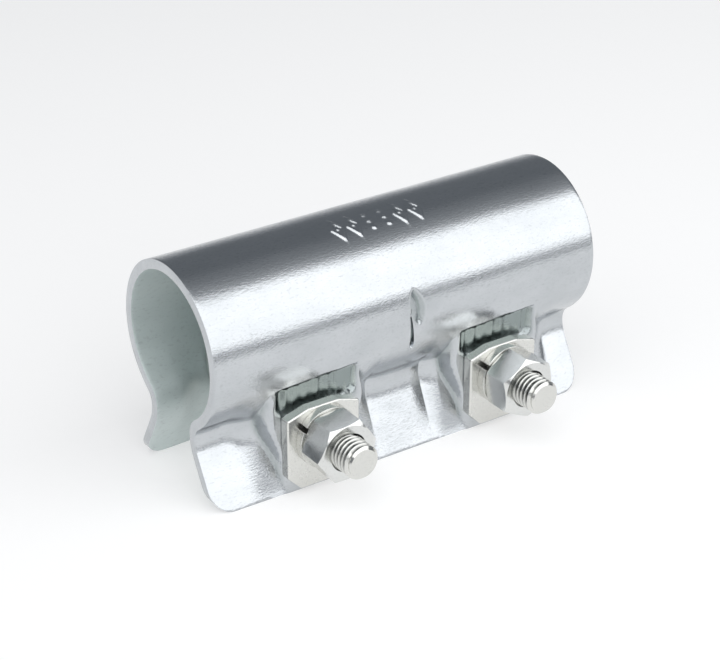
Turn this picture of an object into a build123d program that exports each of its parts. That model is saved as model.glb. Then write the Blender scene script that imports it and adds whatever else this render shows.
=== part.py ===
"""Sleeve coupler that joins two scaffold tubes end to end.

A pressed steel sleeve is wrapped round both tubes and opens downward. Its two
flanges are drawn together below the tubes by two cup square bolts, each with a
plate washer, a spring washer and a nut on the -Y side.

The X axis is the axis of the tubes, Z points up, and the origin lies on that
axis at the middle of the sleeve. All sizes are in millimetres.
"""
import os
from math import cos, radians, sin, sqrt, tan

from build123d import *

# Sleeve
TUBE_DIAMETER = 48.3
TUBE_CLEARANCE = 0.15
SHEET = 3.25
SLEEVE_LENGTH = 147.0
BOTTOM_Z = -50.0

# Section of the flanges: a neck below the tube, then a flare
NECK_HALF_WIDTH = 13.5
NECK_BEND = 5.4
FLARE_BEND = 12.0
FLARE_ANGLE = 29.0
FLANGE_CORNER = 7.5

# Seats pressed out of both flanges at each bolt
BOLT_X = 35.6
BOLT_Z = -30.4
SEAT_Y = 24.5
SEAT_LENGTH = 44.0
SEAT_CORNER = 5.0

# Slit cut in the front wall at the middle, where the tubes meet, and the dent beside it
SLIT_X = -0.7
SLIT_WIDTH = 1.1
SLIT_LOW_Z = -11.5
SLIT_HIGH_Z = 0.5
DENT_X = 0.9
DENT_Z = 3.0
DENT_HALF_WIDTH = 2.8
DENT_HALF_HEIGHT = 6.2
DENT_DEPTH = 1.1

# Bolts
BOLT_LENGTH = 75.0
THREAD_RADIUS = 5.95
THREAD_DEPTH = 0.95
THREAD_PITCH = 1.75
THREAD_LENGTH = 30.0
TIP_CHAMFER = 1.0
BOLT_HOLE = 13.0
NECK_SIDE = 12.0
NECK_LENGTH = 6.4
NECK_GAP = 0.3
HEAD_RADIUS = 15.0
HEAD_RIM = 1.5
HEAD_HEIGHT = 7.0

# Washers and nuts
PLATE_WIDTH = 27.0
PLATE_HEIGHT = 28.0
PLATE_THICKNESS = 4.0
PLATE_DROP = 3.2
PLATE_CLIP = 5.0
PLATE_SHOULDER_WIDTH = 8.0
PLATE_SHOULDER_HEIGHT = 2.4
SPRING_RADIUS = 10.5
SPRING_BORE = 6.2
SPRING_THICKNESS = 3.0
SPRING_SPLIT = 1.8
NUT_FLATS = 19.0
NUT_HEIGHT = 10.8
NUT_BORE = 6.0
NUT_CHAMFER_ANGLE = 30.0

# Each side's bolt position, and how far its nut has been turned
SIDES = {"left": (-BOLT_X, 5.0), "right": (BOLT_X, 35.0)}
BOLT_PLACES = [bolt_x for bolt_x, turn in SIDES.values()]

BORE_RADIUS = TUBE_DIAMETER / 2 + TUBE_CLEARANCE
OUTER_RADIUS = BORE_RADIUS + SHEET
SPRING_BACK = SEAT_Y + PLATE_THICKNESS
NUT_BACK = SPRING_BACK + SPRING_THICKNESS

os.makedirs("parts", exist_ok=True)


def on_bend(centre, radius, angle):
    """Point of a flange bend, at an angle above the level of its centre."""
    y = centre[0] - radius * cos(radians(angle))
    z = centre[1] + radius * sin(radians(angle))
    return (y, z)


def half_section(offset, floor_z):
    """Half of the sleeve's section on the +Y side, grown outward by the offset.

    The outline runs from the crown round the tube, in to the neck and out along
    the flare down to floor_z, then back up the plane of symmetry.
    """
    radius = OUTER_RADIUS + offset
    neck_radius = NECK_BEND - offset
    flare_radius = FLARE_BEND - offset
    centre_distance = OUTER_RADIUS + NECK_BEND
    bend_y = NECK_HALF_WIDTH + NECK_BEND
    bend_z = -sqrt(centre_distance**2 - bend_y**2)
    bend = (bend_y, bend_z)
    flare = (NECK_HALF_WIDTH + FLARE_BEND, bend_z)
    meeting = (bend_y * radius / centre_distance, bend_z * radius / centre_distance)
    meeting_angle = Vector(bend_y, bend_z).get_angle(Vector(1, 0))
    flare_start = on_bend(flare, flare_radius, -FLARE_ANGLE)
    fall = flare_start[1] - floor_z
    foot = (flare_start[0] + fall * tan(radians(FLARE_ANGLE)), floor_z)
    with BuildLine() as outline:
        ThreePointArc((0, radius), (radius, 0), meeting)
        ThreePointArc(meeting, on_bend(bend, neck_radius, meeting_angle / 2), on_bend(bend, neck_radius, 0))
        ThreePointArc(on_bend(flare, flare_radius, 0), on_bend(flare, flare_radius, -FLARE_ANGLE / 2), flare_start)
        Polyline(flare_start, foot, (0, floor_z), (0, radius))
    return outline.line


def sleeve_fill(offset, floor_z, length):
    """Solid inside the sleeve's section, which gives the sleeve's outer or inner face."""
    with BuildPart() as fill:
        with BuildSketch(Plane.YZ.offset(-length / 2)):
            with BuildLine():
                add(half_section(offset, floor_z))
            make_face()
            mirror(about=Plane.YZ)
        extrude(amount=length)
    return fill.part


def seat_fill(centre_x, offset, floor_z):
    """Solid inside one pair of bolt seats, from the tube's lower half down."""
    top_z = -sqrt(OUTER_RADIUS**2 - SEAT_Y**2)
    with BuildPart() as fill:
        with BuildSketch(Plane.XY.offset(floor_z)):
            with Locations((centre_x, 0)):
                RectangleRounded(SEAT_LENGTH + 2 * offset, 2 * (SEAT_Y + offset), SEAT_CORNER + offset)
        extrude(amount=top_z - floor_z)
    return fill.part


outer_form = sleeve_fill(0, BOTTOM_Z, SLEEVE_LENGTH)
inner_form = sleeve_fill(-SHEET, BOTTOM_Z - 1, SLEEVE_LENGTH + 2)
outer_seats = [seat_fill(bolt_x, 0, BOTTOM_Z) for bolt_x in BOLT_PLACES]
inner_seats = [seat_fill(bolt_x, -SHEET, BOTTOM_Z - 1) for bolt_x in BOLT_PLACES]

with BuildPart() as sleeve_shell:
    add(outer_form)
    add(outer_seats)
    add(inner_form, mode=Mode.SUBTRACT)
    add(inner_seats, mode=Mode.SUBTRACT)
    # Rounded corners at the four ends of the flanges
    for end in (-1, 1):
        end_x = end * SLEEVE_LENGTH / 2
        start = (end_x - end * FLANGE_CORNER, BOTTOM_Z)
        finish = (end_x, BOTTOM_Z + FLANGE_CORNER)
        with BuildSketch(Plane.XZ.offset(-SEAT_Y - 2)):
            with BuildLine():
                RadiusArc(start, finish, -end * FLANGE_CORNER)
                Polyline(finish, (end_x + end, finish[1]), (end_x + end, BOTTOM_Z - 1), (start[0], BOTTOM_Z - 1), start)
            make_face()
        extrude(amount=2 * SEAT_Y + 4, mode=Mode.SUBTRACT)
    # Round holes for the threads in the front seats, square ones in the back seats
    for bolt_x in BOLT_PLACES:
        with BuildSketch(Plane.XZ.offset(SEAT_Y + 1)):
            with Locations((bolt_x, BOLT_Z)):
                Circle(BOLT_HOLE / 2)
        extrude(amount=-SHEET - 2, mode=Mode.SUBTRACT)
        with BuildSketch(Plane.XZ.offset(-SEAT_Y - 1)):
            with Locations((bolt_x, BOLT_Z)):
                Rectangle(NECK_SIDE + 2 * NECK_GAP, NECK_SIDE + 2 * NECK_GAP)
        extrude(amount=SHEET + 2, mode=Mode.SUBTRACT)
    with BuildSketch(Plane.XZ.offset(OUTER_RADIUS + 1)):
        with Locations((SLIT_X, (SLIT_LOW_Z + SLIT_HIGH_Z) / 2)):
            Rectangle(SLIT_WIDTH, SLIT_HIGH_Z - SLIT_LOW_Z)
    extrude(amount=-OUTER_RADIUS, mode=Mode.SUBTRACT)
    # Pointed dent beside the slit, with a flat floor short of the bore
    top = (DENT_X, DENT_Z + DENT_HALF_HEIGHT)
    bottom = (DENT_X, DENT_Z - DENT_HALF_HEIGHT)
    with BuildSketch(Plane.XZ.offset(OUTER_RADIUS + 1)):
        with BuildLine():
            ThreePointArc(bottom, (DENT_X + DENT_HALF_WIDTH, DENT_Z), top)
            ThreePointArc(top, (DENT_X - DENT_HALF_WIDTH, DENT_Z), bottom)
        make_face()
    extrude(amount=-1 - DENT_DEPTH, mode=Mode.SUBTRACT)
sleeve_shell.part.label = "sleeve_shell"
export_step(sleeve_shell.part, "parts/sleeve_shell.step")


def bolt_plane(bolt_x, distance):
    """Plane across a bolt at a distance in front of the tubes' axis, facing -Y."""
    return Plane(origin=(bolt_x, -distance, BOLT_Z), x_dir=(1, 0, 0), z_dir=(0, -1, 0))


def bolt_section(bolt_x):
    """Plane along a bolt: its x is the radius and its y runs from the head to the tip."""
    return Plane(origin=(bolt_x, SEAT_Y, BOLT_Z), x_dir=(1, 0, 0), z_dir=(0, 0, -1))


def bolt_axis(bolt_x):
    """Axis of a bolt, pointing from its head to its tip."""
    return Axis((bolt_x, 0, BOLT_Z), (0, -1, 0))


def make_bolt(bolt_x):
    """Cup square bolt, with its thread as rings of the right depth and pitch."""
    root = THREAD_RADIUS - THREAD_DEPTH
    thread_start = BOLT_LENGTH - THREAD_LENGTH
    turns = int((THREAD_LENGTH - TIP_CHAMFER) / THREAD_PITCH)
    profile = [(0, 0), (THREAD_RADIUS, 0), (THREAD_RADIUS, thread_start)]
    for turn in range(turns):
        groove = thread_start + turn * THREAD_PITCH
        profile.append((root, groove + THREAD_PITCH / 2))
        profile.append((THREAD_RADIUS, groove + THREAD_PITCH))
    profile += [(THREAD_RADIUS, BOLT_LENGTH - TIP_CHAMFER)]
    profile += [(THREAD_RADIUS - TIP_CHAMFER, BOLT_LENGTH), (0, BOLT_LENGTH)]
    with BuildPart() as bolt:
        with BuildSketch(bolt_section(bolt_x)):
            with BuildLine():
                Polyline(*profile, close=True)
            make_face()
        revolve(axis=bolt_axis(bolt_x))
        with BuildSketch(bolt_plane(bolt_x, -SEAT_Y)):
            Rectangle(NECK_SIDE, NECK_SIDE)
        extrude(amount=NECK_LENGTH)
        with BuildSketch(bolt_section(bolt_x)):
            with BuildLine():
                Polyline((0, -HEAD_HEIGHT), (0, 0), (HEAD_RADIUS, 0), (HEAD_RADIUS, -HEAD_RIM))
                JernArc((0, -HEAD_HEIGHT), (1, 0), dome_radius(), dome_angle())
            make_face()
        revolve(axis=bolt_axis(bolt_x))
    return bolt.part


def dome_radius():
    """Radius of the sphere that the bolt head's dome is part of."""
    rise = HEAD_HEIGHT - HEAD_RIM
    return (HEAD_RADIUS**2 + rise**2) / (2 * rise)


def dome_angle():
    """Angle of the head's dome from its crown to its rim, in degrees."""
    crown = Vector(0, dome_radius())
    rim = Vector(HEAD_RADIUS, dome_radius() - HEAD_HEIGHT + HEAD_RIM)
    return crown.get_angle(rim)


def make_plate_washer(bolt_x):
    """Thick rectangular washer with clipped lower corners and a low arched top."""
    half_width = PLATE_WIDTH / 2
    top = PLATE_HEIGHT / 2 - PLATE_DROP
    bottom = -PLATE_HEIGHT / 2 - PLATE_DROP
    right_side = [
        (half_width - PLATE_CLIP, bottom),
        (half_width, bottom + PLATE_CLIP),
        (half_width, top - PLATE_SHOULDER_HEIGHT),
        (half_width - PLATE_SHOULDER_WIDTH, top),
    ]
    left_side = [(-x, z) for x, z in reversed(right_side)]
    with BuildPart() as washer:
        with BuildSketch(bolt_plane(bolt_x, SEAT_Y)):
            with BuildLine():
                Polyline(*right_side, *left_side, close=True)
            make_face()
            Circle(BOLT_HOLE / 2, mode=Mode.SUBTRACT)
        extrude(amount=PLATE_THICKNESS)
    return washer.part


def make_spring_washer(bolt_x):
    """Split ring under the nut."""
    with BuildPart() as washer:
        with BuildSketch(bolt_plane(bolt_x, SPRING_BACK)):
            Circle(SPRING_RADIUS)
            Circle(SPRING_BORE, mode=Mode.SUBTRACT)
            with Locations((0, SPRING_RADIUS)):
                Rectangle(SPRING_SPLIT, 2 * (SPRING_RADIUS - SPRING_BORE) + 1, mode=Mode.SUBTRACT)
        extrude(amount=SPRING_THICKNESS)
    return washer.part


def make_nut(bolt_x, turn):
    """Hexagon nut, chamfered on both faces and countersunk at both ends of its bore."""
    corner_radius = NUT_FLATS / sqrt(3)
    face_radius = NUT_FLATS / 2
    chamfer_fall = (corner_radius - face_radius) * tan(radians(NUT_CHAMFER_ANGLE))
    countersink = THREAD_DEPTH / 2
    near = NUT_BACK + SEAT_Y
    far = near + NUT_HEIGHT
    with BuildPart() as nut:
        with BuildSketch(bolt_plane(bolt_x, NUT_BACK)):
            RegularPolygon(corner_radius, 6, rotation=turn)
        extrude(amount=NUT_HEIGHT)
        with BuildSketch(bolt_section(bolt_x)):
            with BuildLine():
                Polyline(
                    (NUT_BORE + countersink, near),
                    (face_radius, near),
                    (corner_radius, near + chamfer_fall),
                    (corner_radius, far - chamfer_fall),
                    (face_radius, far),
                    (NUT_BORE + countersink, far),
                    (NUT_BORE, far - countersink),
                    (NUT_BORE, near + countersink),
                    close=True,
                )
            make_face()
        revolve(axis=bolt_axis(bolt_x), mode=Mode.INTERSECT)
    return nut.part


for side, (bolt_x, turn) in SIDES.items():
    pieces = {
        "bolt": make_bolt(bolt_x),
        "plate_washer": make_plate_washer(bolt_x),
        "spring_washer": make_spring_washer(bolt_x),
        "nut": make_nut(bolt_x, turn),
    }
    for name, piece in pieces.items():
        piece.label = f"{name}_{side}"
        export_step(piece, f"parts/{piece.label}.step")
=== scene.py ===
"""Pressed steel sleeve coupler for two scaffold tubes, with its bolts, nuts and washers.

Every piece is shaped in metres where it stands. X runs along the tubes, Z is up
and -Y is the side of the nuts.
"""
from math import asin, cos, pi, radians, sin, sqrt, tan

import bmesh
import bpy
import numpy as np
from bpy.props import FloatProperty, FloatVectorProperty, IntProperty, PointerProperty, StringProperty
from mathutils import Matrix, Vector


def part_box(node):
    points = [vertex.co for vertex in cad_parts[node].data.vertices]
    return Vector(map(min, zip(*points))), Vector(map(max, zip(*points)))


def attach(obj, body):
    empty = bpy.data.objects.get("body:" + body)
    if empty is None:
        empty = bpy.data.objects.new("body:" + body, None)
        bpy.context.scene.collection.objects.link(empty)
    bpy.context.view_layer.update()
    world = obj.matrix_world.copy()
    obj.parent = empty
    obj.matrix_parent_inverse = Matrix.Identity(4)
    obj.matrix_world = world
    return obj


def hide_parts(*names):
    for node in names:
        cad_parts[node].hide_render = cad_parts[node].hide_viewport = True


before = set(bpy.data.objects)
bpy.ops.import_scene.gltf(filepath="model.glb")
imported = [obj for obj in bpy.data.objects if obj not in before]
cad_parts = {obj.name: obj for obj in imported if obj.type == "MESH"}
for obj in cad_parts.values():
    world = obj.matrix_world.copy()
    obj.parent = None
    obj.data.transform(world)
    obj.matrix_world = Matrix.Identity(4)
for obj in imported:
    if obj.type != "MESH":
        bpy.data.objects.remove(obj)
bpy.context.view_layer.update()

bl_info = {
    "name": "Scaffold Sleeve Coupler",
    "version": (1, 0, 0),
    "blender": (4, 5, 0),
    "location": "3D View > Sidebar > Coupler",
    "description": "Builds a zinc plated sleeve coupler, its fasteners and a studio around it",
    "category": "Object",
}

MM = 0.001
SLEEVE_LOW, SLEEVE_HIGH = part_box("sleeve_shell")
OUTER_RADIUS = SLEEVE_HIGH.z
HALF_LENGTH = SLEEVE_HIGH.x
BOTTOM_Z = SLEEVE_LOW.z
SEAT_Y = -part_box("plate_washer_left")[1].y
SIDES = ("left", "right")
TOWARDS_NUT = Vector((0, -1, 0))


def bolt_centre(side):
    """Point on a bolt's axis, level with the tubes' axis."""
    low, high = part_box("bolt_" + side)
    return Vector(((low.x + high.x) / 2, 0, (low.z + high.z) / 2))


class SleeveSettings(bpy.types.PropertyGroup):
    """Sizes of the pressed sheet."""

    sheet: FloatProperty(
        name="Sheet",
        description="Thickness of the steel",
        default=3.25 * MM,
        unit="LENGTH",
        subtype="DISTANCE",
    )
    neck_half_width: FloatProperty(
        name="Neck",
        description="Half width over the flanges at the neck",
        default=13.5 * MM,
        unit="LENGTH",
    )
    neck_bend: FloatProperty(
        name="Neck bend",
        description="Outside radius above the neck",
        default=5.4 * MM,
        unit="LENGTH",
    )
    flare_bend: FloatProperty(
        name="Flare bend",
        description="Outside radius below the neck",
        default=12.0 * MM,
        unit="LENGTH",
    )
    flare_angle: FloatProperty(
        name="Flare",
        description="Lean of the flanges from upright",
        default=radians(29),
        subtype="ANGLE",
    )
    corner: FloatProperty(
        name="Corner",
        description="Radius at the ends of the flanges",
        default=7.5 * MM,
        unit="LENGTH",
    )
    seat_waist: FloatProperty(
        name="Seat waist",
        description="Half length of a bolt seat at its widest",
        default=18.3 * MM,
        unit="LENGTH",
    )
    seat_foot: FloatProperty(
        name="Seat foot",
        description="Half length of a bolt seat at its foot",
        default=11.8 * MM,
        unit="LENGTH",
    )
    seat_wall: FloatProperty(
        name="Seat wall",
        description="Run of the steep wall round a bolt seat",
        default=2.6 * MM,
        unit="LENGTH",
    )
    seat_apron: FloatProperty(
        name="Seat apron",
        description="Reach of the drawn sheet along the tubes from the bolt",
        default=29.0 * MM,
        unit="LENGTH",
    )
    pocket_depth: FloatProperty(
        name="Pocket",
        description="Depth of the pocket above a bolt seat",
        default=2.0 * MM,
        unit="LENGTH",
    )
    edge_round: FloatProperty(
        name="Edge",
        description="Rounding of the sheared edges",
        default=0.3 * MM,
        unit="LENGTH",
    )
    mark_height: FloatProperty(
        name="Marks",
        description="Height of the raised marks",
        default=0.5 * MM,
        unit="LENGTH",
    )


class FastenerSettings(bpy.types.PropertyGroup):
    """Sizes of the bolts, nuts and washers."""

    pitch: FloatProperty(name="Pitch", description="Pitch of the thread", default=1.75 * MM, unit="LENGTH")
    depth: FloatProperty(name="Depth", description="Depth of the thread", default=1.0 * MM, unit="LENGTH")
    thread: FloatProperty(
        name="Thread",
        description="Length of the thread",
        default=30.0 * MM,
        unit="LENGTH",
    )
    chamfer: FloatProperty(
        name="Chamfer",
        description="Chamfer at the tip",
        default=1.1 * MM,
        unit="LENGTH",
    )
    neck_side: FloatProperty(
        name="Neck",
        description="Side of the square neck",
        default=12.0 * MM,
        unit="LENGTH",
    )
    neck_length: FloatProperty(
        name="Neck length",
        description="Length of the neck",
        default=6.4 * MM,
        unit="LENGTH",
    )
    steps: IntProperty(name="Steps", description="Facets round a turned piece", default=64, min=12)


class FinishSettings(bpy.types.PropertyGroup):
    """Colours of the finishes, as sRGB hex values."""

    sleeve: StringProperty(name="Sleeve", description="Zinc on the sleeve", default="#CDD0D3")
    sleeve_dull: StringProperty(
        name="Sleeve, dull",
        description="Duller patches on the sleeve",
        default="#B8BCBF",
    )
    bore: StringProperty(name="Bore", description="Zinc inside the sleeve", default="#D0D9D8")
    plate: StringProperty(name="Plates", description="Zinc on the plate washers", default="#DADAD6")
    nut: StringProperty(name="Nuts", description="Zinc on the nuts", default="#DADBD9")
    bolt: StringProperty(name="Bolts", description="Zinc on the bolts", default="#D8D8D4")
    floor: StringProperty(name="Floor", description="Paper under the coupler", default="#CACACA")


class StageSettings(bpy.types.PropertyGroup):
    """Camera and light."""

    azimuth: FloatProperty(
        name="Azimuth",
        description="Camera's turn",
        default=radians(-34.551),
        subtype="ANGLE",
    )
    elevation: FloatProperty(
        name="Elevation",
        description="Camera's rise",
        default=radians(27.482),
        subtype="ANGLE",
    )
    distance: FloatProperty(
        name="Distance",
        description="Camera to coupler",
        default=641.15 * MM,
        unit="LENGTH",
    )
    aside: FloatVectorProperty(
        name="Aside",
        description="Coupler's place to the right and up",
        size=2,
        default=(1.9 * MM, 14.5 * MM),
    )
    lens: FloatProperty(name="Lens", description="Focal length in millimetres", default=98.26)
    key: FloatProperty(name="Key", description="Front panel, in watts a square metre", default=5.0)
    fill: FloatProperty(name="Fill", description="Left panel, in watts a square metre", default=4.0)


# ---------------------------------------------------------------- shaping


def smooth(value):
    """Rises from 0 to 1 with level ends."""
    t = np.clip(value, 0.0, 1.0)
    return t * t * (3 - 2 * t)


def stations(even, steps):
    """Moves evenly spaced places from 0 to 1 onto runs, each given as (cells, end)."""
    cells = np.cumsum([0] + [count for count, end in steps[1:]])
    ends = [end for count, end in steps]
    return np.interp(even * cells[-1], cells, ends)


def finish_piece(bm, name, body, nodes, materials):
    """Makes an object from a filled bmesh and gives it its body and materials."""
    mesh = bpy.data.meshes.new(name)
    bm.to_mesh(mesh)
    bm.free()
    piece = bpy.data.objects.new(name, mesh)
    bpy.context.scene.collection.objects.link(piece)
    for material in materials:
        mesh.materials.append(material)
    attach(piece, body)
    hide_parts(*nodes)
    return piece


def shade(bm, sharp_angle):
    """Smooth faces, with edges that turn by more than sharp_angle kept crisp."""
    for face in bm.faces:
        face.smooth = True
    for edge in bm.edges:
        if len(edge.link_faces) == 2 and edge.calc_face_angle(0) > sharp_angle:
            edge.smooth = False


def soften(piece, width, segments=2):
    """Small bevel on the crisp edges of a machined or sheared piece."""
    bevel = piece.modifiers.new("soft edges", "BEVEL")
    bevel.width = width
    bevel.segments = segments
    bevel.limit_method = "ANGLE"
    bevel.angle_limit = radians(25)
    bevel.harden_normals = True


def lathe(bm, profile, origin, steps):
    """Turns a profile of (radius, distance towards the nut) about a bolt's axis."""
    verts = [bm.verts.new(origin + Vector((r, 0, 0)) + TOWARDS_NUT * d) for r, d in profile]
    edges = [bm.edges.new(pair) for pair in zip(verts, verts[1:])]
    bmesh.ops.spin(
        bm,
        geom=verts + edges,
        cent=origin,
        axis=TOWARDS_NUT,
        angle=2 * pi,
        steps=steps,
        use_merge=True,
    )
    bmesh.ops.remove_doubles(bm, verts=bm.verts, dist=0.002 * MM)
    bmesh.ops.recalc_face_normals(bm, faces=bm.faces)


def slice_off(bm, point, normal):
    """Cuts away what lies past a plane and closes the cut."""
    geom = bm.verts[:] + bm.edges[:] + bm.faces[:]
    cut = bmesh.ops.bisect_plane(
        bm, geom=geom, plane_co=point, plane_no=normal, clear_outer=True, dist=1e-7
    )
    rim = [edge for edge in cut["geom_cut"] if isinstance(edge, bmesh.types.BMEdge)]
    bmesh.ops.holes_fill(bm, edges=rim, sides=0)


# ---------------------------------------------------------------- sleeve

SEAT_TOP_Z = -sqrt(OUTER_RADIUS**2 - SEAT_Y**2)
SEAT_START = OUTER_RADIUS * (pi / 2 + asin(-SEAT_TOP_Z / OUTER_RADIUS))
HALF_BLANK = SEAT_START + SEAT_TOP_Z - BOTTOM_Z
BOLT_X = bolt_centre("right").x
BOLT_RUN = SEAT_START + SEAT_TOP_Z - bolt_centre("right").z
HOLE_CELL = 5.0 * MM
HOLE_BLEND = 11.0 * MM
HOLE_RADIUS = 6.5 * MM
SQUARE_HOLE = 6.3 * MM
SLIT_X = (-1.1 * MM, 0.0 * MM)
SLIT_RUN = (42.6 * MM, 56.2 * MM)
MARKS_X = (-19.4 * MM, 17.6 * MM)
MARKS_RUN = (1.0 * MM, 13.0 * MM)
DENT_X = 0.9 * MM
DENT_RUN = 40.3 * MM
DENT_HALF_WIDTH = 3.0 * MM
DENT_HALF_HEIGHT = 6.5 * MM
DENT_DEPTH = 1.3 * MM
POCKET_TOP_Z = -11.4 * MM
POCKET_FOOT_Z = -19.0 * MM
POCKET_HALF_LENGTH = 15.6 * MM
WAIST_Z = -23 * MM
WAIST_SPREAD = 13 * MM

# How much of the way out to a seat the sheet goes in its wall, in the apron round it
# and in the bridge between the two seats
WALL_SHARE = 0.62
APRON_SHARE = 0.38
BRIDGE_SHARE = 0.2
APRON_FADE = 10 * MM
SEAT_CREASE = 1.2 * MM

MARK_PITCH = 5.9 * MM
MARK_STROKE = 0.72 * MM
LOZENGE_HALF_WIDTH = 2.0 * MM
LOZENGE_HALF_HEIGHT = 4.4 * MM
LOZENGE_DOT = 0.75 * MM
DOT_RADIUS = 1.0 * MM
DOT_STEP = 3.2 * MM
FAINT_WAVE = 0.018 * MM
FLANGE_WAVE = 0.10 * MM


def blank_grid(bm, corner):
    """Flat sheet of quads, finer where the marks, the dent and the bends will be.

    Its x runs along the sleeve and its y round it from the crown, + to the front.
    """
    hole = (BOLT_X - HOLE_CELL, BOLT_X + HOLE_CELL)
    columns = [
        (0, -HALF_LENGTH),
        (6, -HALF_LENGTH + corner),
        (26, -hole[1]),
        (10, -hole[0]),
        (13, MARKS_X[0]),
        (43, SLIT_X[0]),
        (3, SLIT_X[1]),
        (40, MARKS_X[1]),
        (15, hole[0]),
        (10, hole[1]),
        (26, HALF_LENGTH - corner),
        (6, HALF_LENGTH),
    ]
    rows = [
        (0, -HALF_BLANK),
        (8, -HALF_BLANK + corner),
        (8, -BOLT_RUN - HOLE_CELL),
        (11, -BOLT_RUN + HOLE_CELL),
        (15, -SLIT_RUN[1]),
        (32, 0),
        (1, MARKS_RUN[0]),
        (33, MARKS_RUN[1]),
        (13, 33 * MM),
        (14, SLIT_RUN[0]),
        (18, SLIT_RUN[1]),
        (15, BOLT_RUN - HOLE_CELL),
        (11, BOLT_RUN + HOLE_CELL),
        (8, HALF_BLANK - corner),
        (8, HALF_BLANK),
    ]
    x_cells = sum(count for count, end in columns)
    y_cells = sum(count for count, end in rows)
    bmesh.ops.create_grid(bm, x_segments=x_cells, y_segments=y_cells, size=0.5)
    places = np.array([vert.co for vert in bm.verts])
    xs = stations(places[:, 0] + 0.5, columns)
    ys = stations(places[:, 1] + 0.5, rows)
    for vert, x, y in zip(bm.verts, xs, ys):
        vert.co = (x, y, 0)


def punch(bm):
    """Holes for the bolts, round in front and square at the back, and the slit."""
    waste = []
    for face in bm.faces:
        centre = face.calc_center_median()
        by_bolt = abs(abs(centre.x) - BOLT_X) < HOLE_CELL and abs(abs(centre.y) - BOLT_RUN) < HOLE_CELL
        in_slit = SLIT_X[0] < centre.x < SLIT_X[1] and SLIT_RUN[0] < centre.y < SLIT_RUN[1]
        if by_bolt or in_slit:
            waste.append(face)
    bmesh.ops.delete(bm, geom=waste, context="FACES")
    for vert in bm.verts:
        x, y, z = vert.co
        dx = abs(x) - BOLT_X
        dy = abs(y) - BOLT_RUN
        reach = max(abs(dx), abs(dy))
        if 0 < reach < HOLE_BLEND:
            share = 1 - (reach - HOLE_CELL) / (HOLE_BLEND - HOLE_CELL)
            round_scale = reach / sqrt(dx * dx + dy * dy) * HOLE_RADIUS / HOLE_CELL
            scale = round_scale if y > 0 else SQUARE_HOLE / HOLE_CELL
            grown = 1 + (scale - 1) * max(0.0, min(1.0, share))
            side = 1 if x > 0 else -1
            front = 1 if y > 0 else -1
            vert.co = (side * (BOLT_X + dx * grown), front * (BOLT_RUN + dy * grown), 0)


def lean_slit(bm):
    """Leans the slit and widens it towards its foot, carrying the sheet beside it along."""
    places = np.array([vert.co for vert in bm.verts])
    x, y = places[:, 0], places[:, 1]
    middle = sum(SLIT_X) / 2
    half = (SLIT_X[1] - SLIT_X[0]) / 2
    down = np.clip((y - SLIT_RUN[0]) / (SLIT_RUN[1] - SLIT_RUN[0]), 0, 1)
    beyond = np.maximum(SLIT_RUN[0] - y, y - SLIT_RUN[1])
    share = (1 - smooth((np.abs(x - middle) - half) / (7 * MM))) * (1 - smooth(beyond / (5 * MM)))
    foot_round = np.sqrt(np.clip((1 - down) / 0.12, 0.0, 1.0))
    wanted = (0.28 + 0.62 * down) * (0.4 + 0.6 * foot_round) * MM
    shift = (2.3 * down - 1.2) * MM + np.sign(x - middle) * (wanted - half)
    for vert, step in zip(bm.verts, shift * share):
        vert.co.x += step


def round_corners(bm, corner):
    """Pulls the blank's four square corners in to quarter circles."""
    for vert in bm.verts:
        a = (abs(vert.co.x) - HALF_LENGTH + corner) / corner
        b = (abs(vert.co.y) - HALF_BLANK + corner) / corner
        if a > 0 and b > 0:
            side = 1 if vert.co.x > 0 else -1
            front = 1 if vert.co.y > 0 else -1
            x = HALF_LENGTH - corner + corner * a * sqrt(1 - b * b / 2)
            y = HALF_BLANK - corner + corner * b * sqrt(1 - a * a / 2)
            vert.co = (side * x, front * y, 0)


def thicken(bm, sheet, edge_round):
    """Gives the blank its thickness and rounds its sheared edges."""
    top = bm.faces[:]
    made = bmesh.ops.extrude_face_region(bm, geom=top, use_keep_orig=True)
    lower = [item for item in made["geom"] if isinstance(item, bmesh.types.BMVert)]
    bmesh.ops.translate(bm, verts=lower, vec=(0, 0, -sheet))
    bmesh.ops.recalc_face_normals(bm, faces=bm.faces)
    rim = []
    for edge in bm.edges:
        rise = abs(edge.verts[0].co.z - edge.verts[1].co.z)
        if edge.calc_face_angle(0) > 1.0 and rise < 1e-6:
            rim.append(edge)
    bmesh.ops.bevel(
        bm,
        geom=rim,
        offset=edge_round,
        offset_type="OFFSET",
        segments=2,
        profile=0.5,
        affect="EDGES",
        clamp_overlap=True,
        material=-1,
    )


def plain_half_width(z, grow, sizes):
    """Half width of the section away from the seats, at heights below the tubes' axis."""
    radius = OUTER_RADIUS + grow
    neck_radius = sizes.neck_bend - grow
    flare_radius = sizes.flare_bend - grow
    reach = OUTER_RADIUS + sizes.neck_bend
    bend_y = sizes.neck_half_width + sizes.neck_bend
    bend_z = -sqrt(reach**2 - bend_y**2)
    flare_y = sizes.neck_half_width + sizes.flare_bend
    meeting_z = bend_z * radius / reach
    flare_z = bend_z - flare_radius * sin(sizes.flare_angle)
    round_tube = np.sqrt(np.maximum(radius**2 - z**2, 0))
    above = bend_y - np.sqrt(np.maximum(neck_radius**2 - (z - bend_z) ** 2, 0))
    below = flare_y - np.sqrt(np.maximum(flare_radius**2 - (z - bend_z) ** 2, 0))
    straight = flare_y - flare_radius * cos(sizes.flare_angle) + (flare_z - z) * tan(sizes.flare_angle)
    return np.select([z > meeting_z, z > bend_z, z > flare_z], [round_tube, above, below], straight)


def seat_half(z, sizes):
    """Half length of a seat at a height: widest above the bolt and narrower at its foot."""
    waist = np.exp(-(((z - WAIST_Z) / WAIST_SPREAD) ** 2))
    return sizes.seat_foot + (sizes.seat_waist - sizes.seat_foot) * waist


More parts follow.
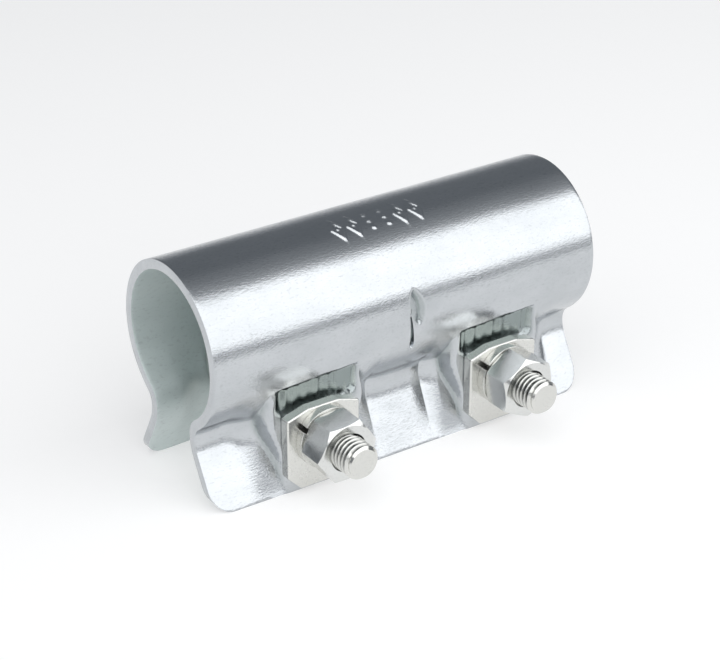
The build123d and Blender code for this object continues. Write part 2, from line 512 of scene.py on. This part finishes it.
def bent(x, run, grow, sizes):
    """Places of the blank's points in the pressed sleeve, for one face of the sheet."""
    radius = OUTER_RADIUS + grow
    side = np.sign(run)
    angle = np.minimum(np.abs(run), SEAT_START) / OUTER_RADIUS
    down = np.maximum(np.abs(run) - SEAT_START, 0)
    lift = (radius / OUTER_RADIUS - 1) * SEAT_TOP_Z
    z_wall = SEAT_TOP_Z - down + lift * (1 - smooth(down / (8 * MM)))
    z = np.where(down > 0, z_wall, radius * np.cos(angle))
    plain = np.where(z > 0, radius * np.sin(angle), plain_half_width(np.minimum(z, 0), grow, sizes))
    half = seat_half(z, sizes) + grow
    off = np.abs(np.abs(x) - BOLT_X)
    steep = smooth((half - off) / sizes.seat_wall + 0.5)
    apron = smooth((sizes.seat_apron - off) / APRON_FADE)
    wall = WALL_SHARE * steep + APRON_SHARE * apron
    bridge = BRIDGE_SHARE * (1 - smooth((np.abs(x) - 6 * MM) / (14 * MM)))
    wall = np.maximum(wall, bridge)
    fade = smooth((-z - 3 * MM) / (5 * MM))
    short = SEAT_Y - 0.05 * MM + grow - plain
    out = (short + np.sqrt(short**2 + SEAT_CREASE**2)) / 2
    y = plain + wall * fade * out
    return np.stack([x, -side * y, z], axis=1)


def mark_relief(x, run):
    """Height, from 0 to 1, of a row of raised lozenges and dots on the crown."""
    middle = sum(MARKS_RUN) / 2
    first = sum(MARKS_X) / 2 - 2.5 * MARK_PITCH
    height = np.zeros_like(x)
    for place in range(6):
        dx = x - first - place * MARK_PITCH
        dy = run - middle
        if place in (2, 3):
            for step in (-1, 0, 1):
                dot = np.hypot(dx, dy - step * DOT_STEP)
                height = np.maximum(height, np.clip(1 - (dot / DOT_RADIUS) ** 2, 0, 1))
        else:
            slant = np.hypot(1 / LOZENGE_HALF_WIDTH, 1 / LOZENGE_HALF_HEIGHT)
            lozenge = np.abs(dx) / LOZENGE_HALF_WIDTH + np.abs(dy) / LOZENGE_HALF_HEIGHT
            ring = np.abs(lozenge - 1) / slant
            height = np.maximum(height, np.clip(1 - (ring / MARK_STROKE) ** 2, 0, 1))
            dot = np.hypot(dx, dy)
            height = np.maximum(height, np.clip(1 - (dot / LOZENGE_DOT) ** 2, 0, 1))
    return height


def dent_relief(x, run):
    """Depth, from 0 to 1, of the leaf-shaped dent: broad on its left, steep on its right."""
    up = (run - DENT_RUN) / DENT_HALF_HEIGHT
    along = np.clip(1 - up**2, 0, 1)
    half = DENT_HALF_WIDTH * along**0.75
    across = (x - DENT_X - 0.8 * MM * up) / np.maximum(half, 0.01 * MM)
    broad = np.clip((across + 1) / 1.3, 0, 1)
    steep = np.clip((1 - across) / 0.5, 0, 1)
    return np.minimum(broad, steep) * smooth(along / 0.4)


def pocket_relief(x, z):
    """Depth, from 0 to 1, of the ribbed pocket that the seat's draw leaves above each bolt."""
    off = np.abs(x) - BOLT_X
    ends = smooth((POCKET_HALF_LENGTH - np.abs(off)) / (2.4 * MM))
    top = smooth((POCKET_TOP_Z + 0.05 * np.sign(x) * off - z) / (1.1 * MM))
    foot_z = POCKET_FOOT_Z - 3.0 * MM * smooth((14 * MM - np.abs(off)) / (3 * MM))
    foot = 1 - smooth((foot_z - z) / (2.4 * MM))
    ribs = np.sin(off / (0.62 * MM)) + 0.7 * np.sin(off / (0.37 * MM) + 1.3)
    return ends * top * foot * (1 + 0.08 * ribs)


def seat_painted_shade(x, z, sizes):
    """Painted shade, from 0 to 1, in the pocket above a seat and in the crease round its wall."""
    off = np.abs(np.abs(x) - BOLT_X)
    above = smooth((16 * MM - off) / (2 * MM)) * smooth((POCKET_TOP_Z - z) / (1.5 * MM))
    above *= 1 - smooth((POCKET_FOOT_Z - z) / (6 * MM))
    crease = np.exp(-(((off - seat_half(z, sizes) - 0.42 * sizes.seat_wall) / (0.8 * MM)) ** 2))
    crease *= smooth((-14 * MM - z) / (4 * MM)) * smooth((z - BOTTOM_Z - 1.5 * MM) / (5 * MM))
    return np.clip(above + 0.7 * crease, 0, 1)


def waves(x, run):
    """Slight waves that the press leaves, faint on the round and deeper on the flanges."""
    flange = smooth((np.abs(run) - 60 * MM) / (8 * MM))
    faint = np.sin(x / (6.1 * MM) + 1.1) * np.sin(run / (4.3 * MM))
    faint += np.sin(x / (11 * MM) - run / (7 * MM))
    deep = np.sin(x / (4.7 * MM) + 0.4 + run / (9 * MM)) * np.sin(run / (3.4 * MM) + x / (23 * MM))
    edge = smooth((HALF_BLANK - np.abs(run)) / (5 * MM))
    return FAINT_WAVE * faint + FLANGE_WAVE * flange * edge * deep


def press(bm, sizes):
    """Bends the thick blank to its section, presses the seats and stamps the relief."""
    places = np.array([vert.co for vert in bm.verts])
    x, run = places[:, 0], places[:, 1]
    share = np.clip(-places[:, 2] / sizes.sheet, 0, 1)[:, None]
    outside = bent(x, run, 0.0, sizes)
    inside = bent(x, run, -sizes.sheet, sizes)
    outward = outside * (0, 1, 1) / OUTER_RADIUS
    front = run > 0
    pocket = np.where(front, pocket_relief(x, outside[:, 2]), 0)
    dent = dent_relief(x, run)
    relief = sizes.mark_height * mark_relief(x, run) - DENT_DEPTH * dent
    outside = outside + outward * (relief + waves(x, run))[:, None]
    outside[:, 1] += sizes.pocket_depth * pocket
    # Painted shade, kept in a float layer on the outer face: darker plate in the pocket above each seat,
    # in the crease round its wall and in the dent.
    dull_and_shade = bm.verts.layers.float.new("dull_and_shade")
    painted_shade = np.where(front, seat_painted_shade(x, outside[:, 2], sizes), 0)
    # Painted shade in the dent, darkest where it is deepest.
    painted_shade = painted_shade + 0.4 * smooth(dent / 0.2) + 0.5 * smooth((dent - 0.85) / 0.15)
    painted_shade = np.clip(painted_shade, 0, 1) * (1 - share[:, 0])
    pressed = outside * (1 - share) + inside * share
    pressed[:, 2] = np.maximum(pressed[:, 2], BOTTOM_Z)
    for vert, place, shade_of in zip(bm.verts, pressed, painted_shade):
        vert.co = place
        vert[dull_and_shade] = shade_of


class COUPLER_OT_sleeve(bpy.types.Operator):
    """Press the sleeve from a flat blank"""

    bl_idname = "coupler.sleeve"
    bl_label = "Sleeve"

    def execute(self, context):
        sizes = context.scene.coupler_sleeve
        bm = bmesh.new()
        blank_grid(bm, sizes.corner)
        punch(bm)
        lean_slit(bm)
        round_corners(bm, sizes.corner)
        thicken(bm, sizes.sheet, sizes.edge_round)
        inner = [face for face in bm.faces if face.calc_center_median().z < -0.9 * sizes.sheet]
        for face in inner:
            face.material_index = 1
        press(bm, sizes)
        bmesh.ops.recalc_face_normals(bm, faces=bm.faces)
        shade(bm, radians(80))
        colours = context.scene.coupler_finish
        outside = zinc_sheet("bright zinc plated sheet", colours.sleeve, colours.sleeve_dull, 0.15)
        inside = zinc_bore("zinc plated bore", colours.bore)
        finish_piece(bm, "sleeve", "sleeve", ["sleeve_shell"], [outside, inside])
        return {"FINISHED"}


# ---------------------------------------------------------------- fasteners

THREAD_RADIUS = 5.95 * MM
THREAD_STEPS = 48
THREAD_SHAPE = ((0.0, 0.0), (0.10, 0.0), (0.42, 1.0), (0.58, 1.0), (0.90, 0.0), (1.0, 0.0))
HEAD_RIM = 1.5 * MM
HEAD_EDGE = 0.4 * MM
DOME_STEPS = 14
NUT_TURNS = (5, 35)
NUT_HALF_FLATS = 9.5 * MM
NUT_FACE = 0.97 * NUT_HALF_FLATS
NUT_BORE = 6.0 * MM
NUT_SINK = 0.55 * MM
PLATE_HOLE = 6.5 * MM
PLATE_BLANK = 30 * MM
PLATE_CLIP = 5.0 * MM
PLATE_SHOULDER = Vector((8.0 * MM, 0, 2.4 * MM))
SPRING_BORE = 6.2 * MM
SPRING_GAP = radians(10)
SPRING_SPLIT = radians(148)
SPRING_DISH = 0.08 * MM


def screw(bm, origin, start, finish, radius, sizes, steps):
    """Right-handed thread from start to finish, distances towards the nut."""
    pitch = sizes.pitch
    root = radius - sizes.depth
    first = start - 2 * pitch
    turns = int((finish - first) / pitch) + 2
    verts = []
    for turn, height in THREAD_SHAPE:
        arm = Vector((radius if height else root, 0, 0))
        verts.append(bm.verts.new(origin + arm + TOWARDS_NUT * (first + turn * pitch)))
    edges = [bm.edges.new(pair) for pair in zip(verts, verts[1:])]
    bmesh.ops.spin(
        bm,
        geom=verts + edges,
        cent=origin,
        axis=TOWARDS_NUT,
        dvec=TOWARDS_NUT * (pitch / steps),
        angle=2 * pi * turns,
        steps=steps * turns,
        use_merge=False,
    )
    bmesh.ops.remove_doubles(bm, verts=bm.verts, dist=0.004 * MM)
    slice_off(bm, origin + TOWARDS_NUT * start, -TOWARDS_NUT)
    slice_off(bm, origin + TOWARDS_NUT * finish, TOWARDS_NUT)
    for vert in bm.verts:
        offset = vert.co - origin
        along = offset.dot(TOWARDS_NUT)
        arm = offset - TOWARDS_NUT * along
        limit = radius - sizes.chamfer + (finish - along)
        if arm.length > limit:
            vert.co = origin + TOWARDS_NUT * along + arm.normalized() * limit
    bmesh.ops.recalc_face_normals(bm, faces=bm.faces)


def shade_thread_roots(bm, origin, end, radius, depth):
    """Marks painted shade in the bottoms of a thread, as far as its end."""
    dull_and_shade = bm.verts.layers.float.new("dull_and_shade")
    for vert in bm.verts:
        offset = vert.co - origin
        along = offset.dot(TOWARDS_NUT)
        arm = (offset - TOWARDS_NUT * along).length
        if radius - 1.1 * depth < arm and along < end:
            vert[dull_and_shade] = min(1.0, max(0.0, (radius - arm) / depth))


def head_height():
    """Height of a bolt's head, from the back seat to its crown."""
    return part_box("bolt_left")[1].y - SEAT_Y


def turned_bolt(head_radius, crown, shank_end, radius):
    """Profile of the domed head and plain shank."""
    rise = head_height() - HEAD_RIM
    dome = (head_radius**2 + rise**2) / (2 * rise)
    sweep = asin(head_radius / dome)
    profile = []
    for step in range(DOME_STEPS + 1):
        angle = sweep * step / DOME_STEPS
        profile.append((dome * sin(angle), crown + dome * (1 - cos(angle))))
    under = crown + head_height()
    profile += [(head_radius, under - HEAD_EDGE), (head_radius - HEAD_EDGE, under), (radius, under)]
    profile += [(radius, shank_end), (0, shank_end)]
    return profile


class COUPLER_OT_bolts(bpy.types.Operator):
    """Forge both cup square bolts and roll their threads"""

    bl_idname = "coupler.bolts"
    bl_label = "Bolts"

    def execute(self, context):
        sizes = context.scene.coupler_fasteners
        material = zinc_forged("zinc plated bolt steel", context.scene.coupler_finish.bolt, 0.2)
        for side in SIDES:
            low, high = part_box("bolt_" + side)
            origin = bolt_centre(side)
            head_radius = (high.x - low.x) / 2
            tip = -low.y
            crown = -high.y
            thread = bmesh.new()
            screw(thread, origin, tip - sizes.thread, tip, THREAD_RADIUS, sizes, THREAD_STEPS)
            shade_thread_roots(thread, origin, tip - 1.4 * sizes.chamfer, THREAD_RADIUS, sizes.depth)
            body = bmesh.new()
            turned = turned_bolt(head_radius, crown, tip - sizes.thread, THREAD_RADIUS)
            lathe(body, turned, origin, sizes.steps)
            neck = bmesh.ops.create_cube(body, size=1.0)["verts"]
            bmesh.ops.scale(body, verts=neck, vec=(sizes.neck_side, sizes.neck_length, sizes.neck_side))
            centre = origin + TOWARDS_NUT * (crown + head_height() + sizes.neck_length / 2)
            bmesh.ops.translate(body, verts=neck, vec=centre)
            mesh = bpy.data.meshes.new("bolt body")
            body.to_mesh(mesh)
            body.free()
            thread.from_mesh(mesh)
            bpy.data.meshes.remove(mesh)
            shade(thread, radians(35))
            finish_piece(thread, "cup_bolt_" + side, "sleeve", ["bolt_" + side], [material])
        return {"FINISHED"}


class COUPLER_OT_nuts(bpy.types.Operator):
    """Turn both nuts and cut their flats"""

    bl_idname = "coupler.nuts"
    bl_label = "Nuts"

    def execute(self, context):
        material = zinc_forged("zinc plated nut steel", context.scene.coupler_finish.nut, 0.15)
        steps = context.scene.coupler_fasteners.steps
        for side, turn in zip(SIDES, NUT_TURNS):
            low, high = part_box("nut_" + side)
            origin = bolt_centre(side)
            near, far = -high.y, -low.y
            corner = NUT_HALF_FLATS / cos(pi / 6)
            fall = (corner - NUT_FACE) * tan(radians(30))
            profile = [
                (NUT_BORE, near + NUT_SINK),
                (NUT_BORE + NUT_SINK, near),
                (NUT_FACE, near),
                (corner, near + fall),
                (corner, far - fall),
                (NUT_FACE, far),
                (NUT_BORE + NUT_SINK, far),
                (NUT_BORE, far - NUT_SINK),
                (NUT_BORE, near + NUT_SINK),
            ]
            bm = bmesh.new()
            lathe(bm, profile, origin, 2 * steps)
            for flat in range(6):
                angle = radians(turn + 30 + 60 * flat)
                normal = Vector((cos(angle), 0, sin(angle)))
                slice_off(bm, origin + normal * NUT_HALF_FLATS, normal)
            bmesh.ops.recalc_face_normals(bm, faces=bm.faces)
            shade(bm, radians(22))
            piece = finish_piece(
                bm, "hexagon_nut_" + side, "nut_" + side, ["nut_" + side], [material]
            )
            soften(piece, 0.25 * MM)
        return {"FINISHED"}


class COUPLER_OT_plates(bpy.types.Operator):
    """Shear both plate washers and drill them"""

    bl_idname = "coupler.plates"
    bl_label = "Plate washers"

    def execute(self, context):
        material = zinc_forged("zinc plated washer plate", context.scene.coupler_finish.plate, 0.22)
        for side in SIDES:
            low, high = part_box("plate_washer_" + side)
            origin = bolt_centre(side)
            back, front = -high.y, -low.y
            thick = front - back
            bm = bmesh.new()
            profile = [
                (PLATE_HOLE, back),
                (PLATE_BLANK, back),
                (PLATE_BLANK, front),
                (PLATE_HOLE, front),
                (PLATE_HOLE, back),
            ]
            lathe(bm, profile, origin, context.scene.coupler_fasteners.steps)
            middle = (low + high) / 2
            half = (high - low) / 2
            shoulder = PLATE_SHOULDER
            for sign in (-1, 1):
                slice_off(bm, middle + Vector((sign * half.x, 0, 0)), Vector((sign, 0, 0)))
                slice_off(bm, middle + Vector((0, 0, sign * half.z)), Vector((0, 0, sign)))
                low_corner = middle + Vector((sign * half.x, 0, -half.z + PLATE_CLIP))
                slice_off(bm, low_corner, Vector((sign, 0, -1)).normalized())
                high_corner = middle + Vector((sign * half.x, 0, half.z - shoulder.z))
                slice_off(bm, high_corner, Vector((sign * shoulder.z, 0, shoulder.x)).normalized())
            bmesh.ops.recalc_face_normals(bm, faces=bm.faces)
            shade(bm, radians(12))
            nodes = ["plate_washer_" + side]
            piece = finish_piece(
                bm, "clipped_plate_" + side, "washers_" + side, nodes, [material]
            )
            soften(piece, 0.2 * thick, 3)
        return {"FINISHED"}


class COUPLER_OT_spring_washers(bpy.types.Operator):
    """Bend both split spring washers"""

    bl_idname = "coupler.spring_washers"
    bl_label = "Spring washers"

    def execute(self, context):
        material = zinc_forged("zinc plated spring steel", context.scene.coupler_finish.bolt, 0.25)
        for side in SIDES:
            low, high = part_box("spring_washer_" + side)
            origin = bolt_centre(side)
            back, front = -high.y, -low.y
            outer = (high.x - low.x) / 2
            bm = bmesh.new()
            profile = [
                (SPRING_BORE, back + SPRING_DISH),
                (outer, back),
                (outer, front),
                (SPRING_BORE, front - SPRING_DISH),
            ]
            lean = Matrix.Rotation(SPRING_SPLIT - SPRING_GAP / 2, 3, TOWARDS_NUT)
            verts = []
            for radius, along in profile:
                verts.append(bm.verts.new(origin + lean @ Vector((radius, 0, 0)) + TOWARDS_NUT * along))
            face = bm.faces.new(verts)
            bmesh.ops.spin(
                bm,
                geom=[face] + face.edges[:] + verts,
                cent=origin,
                axis=TOWARDS_NUT,
                angle=-(2 * pi - SPRING_GAP),
                steps=context.scene.coupler_fasteners.steps,
                use_merge=False,
            )
            bmesh.ops.remove_doubles(bm, verts=bm.verts, dist=0.002 * MM)
            bmesh.ops.recalc_face_normals(bm, faces=bm.faces)
            shade(bm, radians(30))
            nodes = ["spring_washer_" + side]
            piece = finish_piece(
                bm, "split_washer_" + side, "washers_" + side, nodes, [material]
            )
            soften(piece, 0.2 * MM)
        return {"FINISHED"}


# ---------------------------------------------------------------- finishes


def linear(hex_colour):
    """Linear colour of an sRGB hex value."""
    values = [int(hex_colour[place : place + 2], 16) / 255 for place in (1, 3, 5)]
    return tuple(v / 12.92 if v <= 0.04045 else ((v + 0.055) / 1.055) ** 2.4 for v in values) + (1.0,)


def add(tree, kind, settings=None, links=None):
    """Adds a node with its settings and the links into it."""
    node = tree.nodes.new(kind)
    for name, value in (settings or {}).items():
        if isinstance(name, int) or name in node.inputs:
            node.inputs[name].default_value = value
        else:
            setattr(node, name, value)
    for name, source in (links or {}).items():
        tree.links.new(source, node.inputs[name])
    return node


def empty_material(name):
    """New material with an empty node tree, and the tree."""
    material = bpy.data.materials.new(name)
    material.use_nodes = True
    material.node_tree.nodes.clear()
    return material, material.node_tree


def zinc(
    name, bright, dull_and_shade, roughness, patch, grain, grain_height, stretch=1.0, metallic=1.0, painted_shade=None
):
    """Zinc electroplate on steel: a pale metal mirror, softened by the grain of the steel.

    patch and grain are the widths, in metres, of the cloudy patches and of the grain,
    which is drawn out along the tubes by stretch. The last argument is the colour of
    painted shade, mixed in where the mesh's float layer marks it.
    """
    material, tree = empty_material(name)
    place = add(tree, "ShaderNodeTexCoord").outputs["Object"]
    drawn = add(tree, "ShaderNodeMapping", {"Scale": (1 / stretch, 1, 1)}, {"Vector": place}).outputs[0]
    cloud = add(
        tree,
        "ShaderNodeTexNoise",
        {"Scale": 1 / patch, "Detail": 4.0, "Roughness": 0.6},
        {"Vector": drawn},
    )
    fine = add(
        tree,
        "ShaderNodeTexNoise",
        {"Scale": 1 / grain, "Detail": 3.0, "Roughness": 0.65},
        {"Vector": drawn},
    )
    speck = add(
        tree,
        "ShaderNodeMapRange",
        {"From Min": 0.55, "From Max": 0.75, "To Min": 0.0, "To Max": 0.22},
        {"Value": fine.outputs["Fac"]},
    )
    tint = add(
        tree,
        "ShaderNodeMix",
        {"data_type": "RGBA", 6: linear(bright), 7: linear(dull_and_shade)},
        {0: cloud.outputs["Fac"]},
    ).outputs[2]
    tint = add(
        tree,
        "ShaderNodeMix",
        {"data_type": "RGBA", 7: linear("#6A6D70")},
        {0: speck.outputs[0], 6: tint},
    ).outputs[2]
    # Painted shade, mixed in where the mesh's float layer is raised
    if painted_shade:
        mark = add(tree, "ShaderNodeAttribute", {"attribute_name": "dull_and_shade"})
        tint = add(
            tree,
            "ShaderNodeMix",
            {"data_type": "RGBA", 7: linear(painted_shade)},
            {0: mark.outputs["Fac"], 6: tint},
        ).outputs[2]
    rough = add(
        tree,
        "ShaderNodeMapRange",
        {"From Min": 0.3, "From Max": 0.7, "To Min": roughness * 0.75, "To Max": roughness * 1.4},
        {"Value": cloud.outputs["Fac"]},
    )
    bump = add(
        tree,
        "ShaderNodeBump",
        {"Strength": 1.0, "Distance": grain_height},
        {"Height": fine.outputs["Fac"]},
    )
    shader = add(
        tree,
        "ShaderNodeBsdfPrincipled",
        {"Metallic": metallic},
        {"Base Color": tint, "Roughness": rough.outputs[0], "Normal": bump.outputs[0]},
    )
    add(tree, "ShaderNodeOutputMaterial", {}, {"Surface": shader.outputs[0]})
    return material


def zinc_sheet(name, bright, dull_and_shade, roughness):
    """Cold rolled sheet, plated bright: reflections are sharp but their edges break up."""
    # 8F9897 is painted shade for the pockets above the seats, the creases round them and the dent.
    return zinc(name, bright, dull_and_shade, roughness, 8 * MM, 0.6 * MM, 0.06 * MM, stretch=2.0, painted_shade="#8F9897")


def zinc_bore(name, colour):
    """The same plate inside the sleeve, thinner and matt."""
    return zinc(name, colour, colour, 0.5, 12 * MM, 1.0 * MM, 0.04 * MM, stretch=2.0, metallic=0.55)


def zinc_forged(name, colour, roughness):
    """Forged or machined steel under bright plate, a little yellower than the sheet."""
    # 5E6162 is painted shade in the thread roots of the bolts.
    return zinc(name, colour, colour, roughness, 5 * MM, 0.7 * MM, 0.02 * MM, painted_shade="#5E6162")


def paper(name, colour):
    """White paper, with a glow that stands for light from the rest of the room."""
    material, tree = empty_material(name)
    shader = add(
        tree,
        "ShaderNodeBsdfPrincipled",
        {
            "Base Color": linear(colour),
            "Roughness": 0.9,
            "Specular IOR Level": 0.0,
            "Emission Color": (1, 1, 1, 1),
            "Emission Strength": 0.46,
        },
    )
    add(tree, "ShaderNodeOutputMaterial", {}, {"Surface": shader.outputs[0]})
    return material


# ---------------------------------------------------------------- stage


def panel(name, size, centre, facing, strength):
    """Light panel of a (width, height), strength being its power in watts a square metre."""
    light = bpy.data.lights.new(name, "AREA")
    light.shape = "RECTANGLE"
    light.size, light.size_y = size
    light.energy = strength * size[0] * size[1]
    lamp = bpy.data.objects.new(name, light)
    bpy.context.scene.collection.objects.link(lamp)
    lamp.location = centre
    lamp.rotation_euler = Vector(facing).to_track_quat("-Z", "Y").to_euler()


class COUPLER_OT_stage(bpy.types.Operator):
    """Set out the paper, the lights and the camera"""

    bl_idname = "coupler.stage"
    bl_label = "Stage"

    def execute(self, context):
        settings = context.scene.coupler_stage
        scene = context.scene
        bm = bmesh.new()
        bmesh.ops.create_grid(bm, x_segments=1, y_segments=1, size=1.0)
        bmesh.ops.scale(bm, vec=(2.2, 1.45, 1), verts=bm.verts)
        bmesh.ops.translate(bm, vec=(0, 0.93, BOTTOM_Z), verts=bm.verts)
        mesh = bpy.data.meshes.new("paper")
        bm.to_mesh(mesh)
        bm.free()
        floor = bpy.data.objects.new("paper", mesh)
        scene.collection.objects.link(floor)
        mesh.materials.append(paper("white paper", scene.coupler_finish.floor))

        # The sleeve's round side mirrors only what lies to the right at one slant, so the
        # panels there draw its bands, and those on the left light the paper and the bore.
        key = settings.key
        panel("front panel", (2.2, 1.35), (0.5, -0.685, 0.65), (0, 0.884, -0.468), key)
        panel("upper panel", (2.2, 0.36), (0.5, -0.195, 1.25), (0, 0.275, -0.96), key * 0.16)
        panel("top panel", (2.2, 0.42), (0.5, 0.19, 1.275), (0, -0.118, -0.993), key * 0.05)
        panel("back panel", (2.2, 0.3), (0.5, 1.35, 0.13), (0, -1, 0), key * 0.16)
        panel("left panel", (1.0, 1.6), (-0.75, -0.2, 1.1), (0.3, 0.2, -0.9), settings.fill)
        panel("end panel", (0.9, 0.6), (-1.5, 0.1, 0.35), (1, -0.05, -0.2), settings.fill)

        world = bpy.data.worlds.new("studio")
        scene.world = world
        world.use_nodes = True
        tree = world.node_tree
        tree.nodes.clear()
        ray = add(tree, "ShaderNodeLightPath")
        dark = add(tree, "ShaderNodeBackground", {"Color": linear("#74787D")})
        pale = add(tree, "ShaderNodeBackground", {"Color": linear("#FAFAFA")})
        mix = add(
            tree,
            "ShaderNodeMixShader",
            {},
            {0: ray.outputs["Is Camera Ray"], 1: dark.outputs[0], 2: pale.outputs[0]},
        )
        add(tree, "ShaderNodeOutputWorld", {}, {"Surface": mix.outputs[0]})

        turn = settings.azimuth
        rise = settings.elevation
        right = Vector((cos(turn), sin(turn), 0))
        back = Vector((sin(turn) * cos(rise), -cos(turn) * cos(rise), sin(rise)))
        up = back.cross(right)
        camera = bpy.data.objects.new("camera", bpy.data.cameras.new("camera"))
        scene.collection.objects.link(camera)
        camera.data.lens = settings.lens
        camera.data.sensor_width = 36
        camera.data.clip_start = 0.01
        axes = Matrix((right, up, back)).transposed()
        place = back * settings.distance - right * settings.aside[0] - up * settings.aside[1]
        camera.matrix_world = Matrix.Translation(place) @ axes.to_4x4()
        scene.camera = camera
        scene.view_settings.view_transform = "Standard"
        return {"FINISHED"}


class COUPLER_PT_panel(bpy.types.Panel):
    """Buttons for the coupler's pieces"""

    bl_label = "Scaffold Sleeve Coupler"
    bl_idname = "COUPLER_PT_panel"
    bl_space_type = "VIEW_3D"
    bl_region_type = "UI"
    bl_category = "Coupler"

    def draw(self, context):
        for operator in OPERATORS:
            self.layout.operator(operator.bl_idname)


OPERATORS = (
    COUPLER_OT_sleeve,
    COUPLER_OT_bolts,
    COUPLER_OT_spring_washers,
    COUPLER_OT_plates,
    COUPLER_OT_nuts,
    COUPLER_OT_stage,
)
SETTINGS = {
    "coupler_sleeve": SleeveSettings,
    "coupler_fasteners": FastenerSettings,
    "coupler_finish": FinishSettings,
    "coupler_stage": StageSettings,
}


def register():
    for name, group in SETTINGS.items():
        bpy.utils.register_class(group)
        setattr(bpy.types.Scene, name, PointerProperty(type=group))
    for entry in OPERATORS + (COUPLER_PT_panel,):
        bpy.utils.register_class(entry)


def unregister():
    for entry in reversed(OPERATORS + (COUPLER_PT_panel,)):
        bpy.utils.unregister_class(entry)
    for name, group in SETTINGS.items():
        delattr(bpy.types.Scene, name)
        bpy.utils.unregister_class(group)


def main():
    register()
    bpy.ops.coupler.sleeve()
    bpy.ops.coupler.bolts()
    bpy.ops.coupler.spring_washers()
    bpy.ops.coupler.plates()
    bpy.ops.coupler.nuts()
    bpy.ops.coupler.stage()


if __name__ == "__main__":
    main()
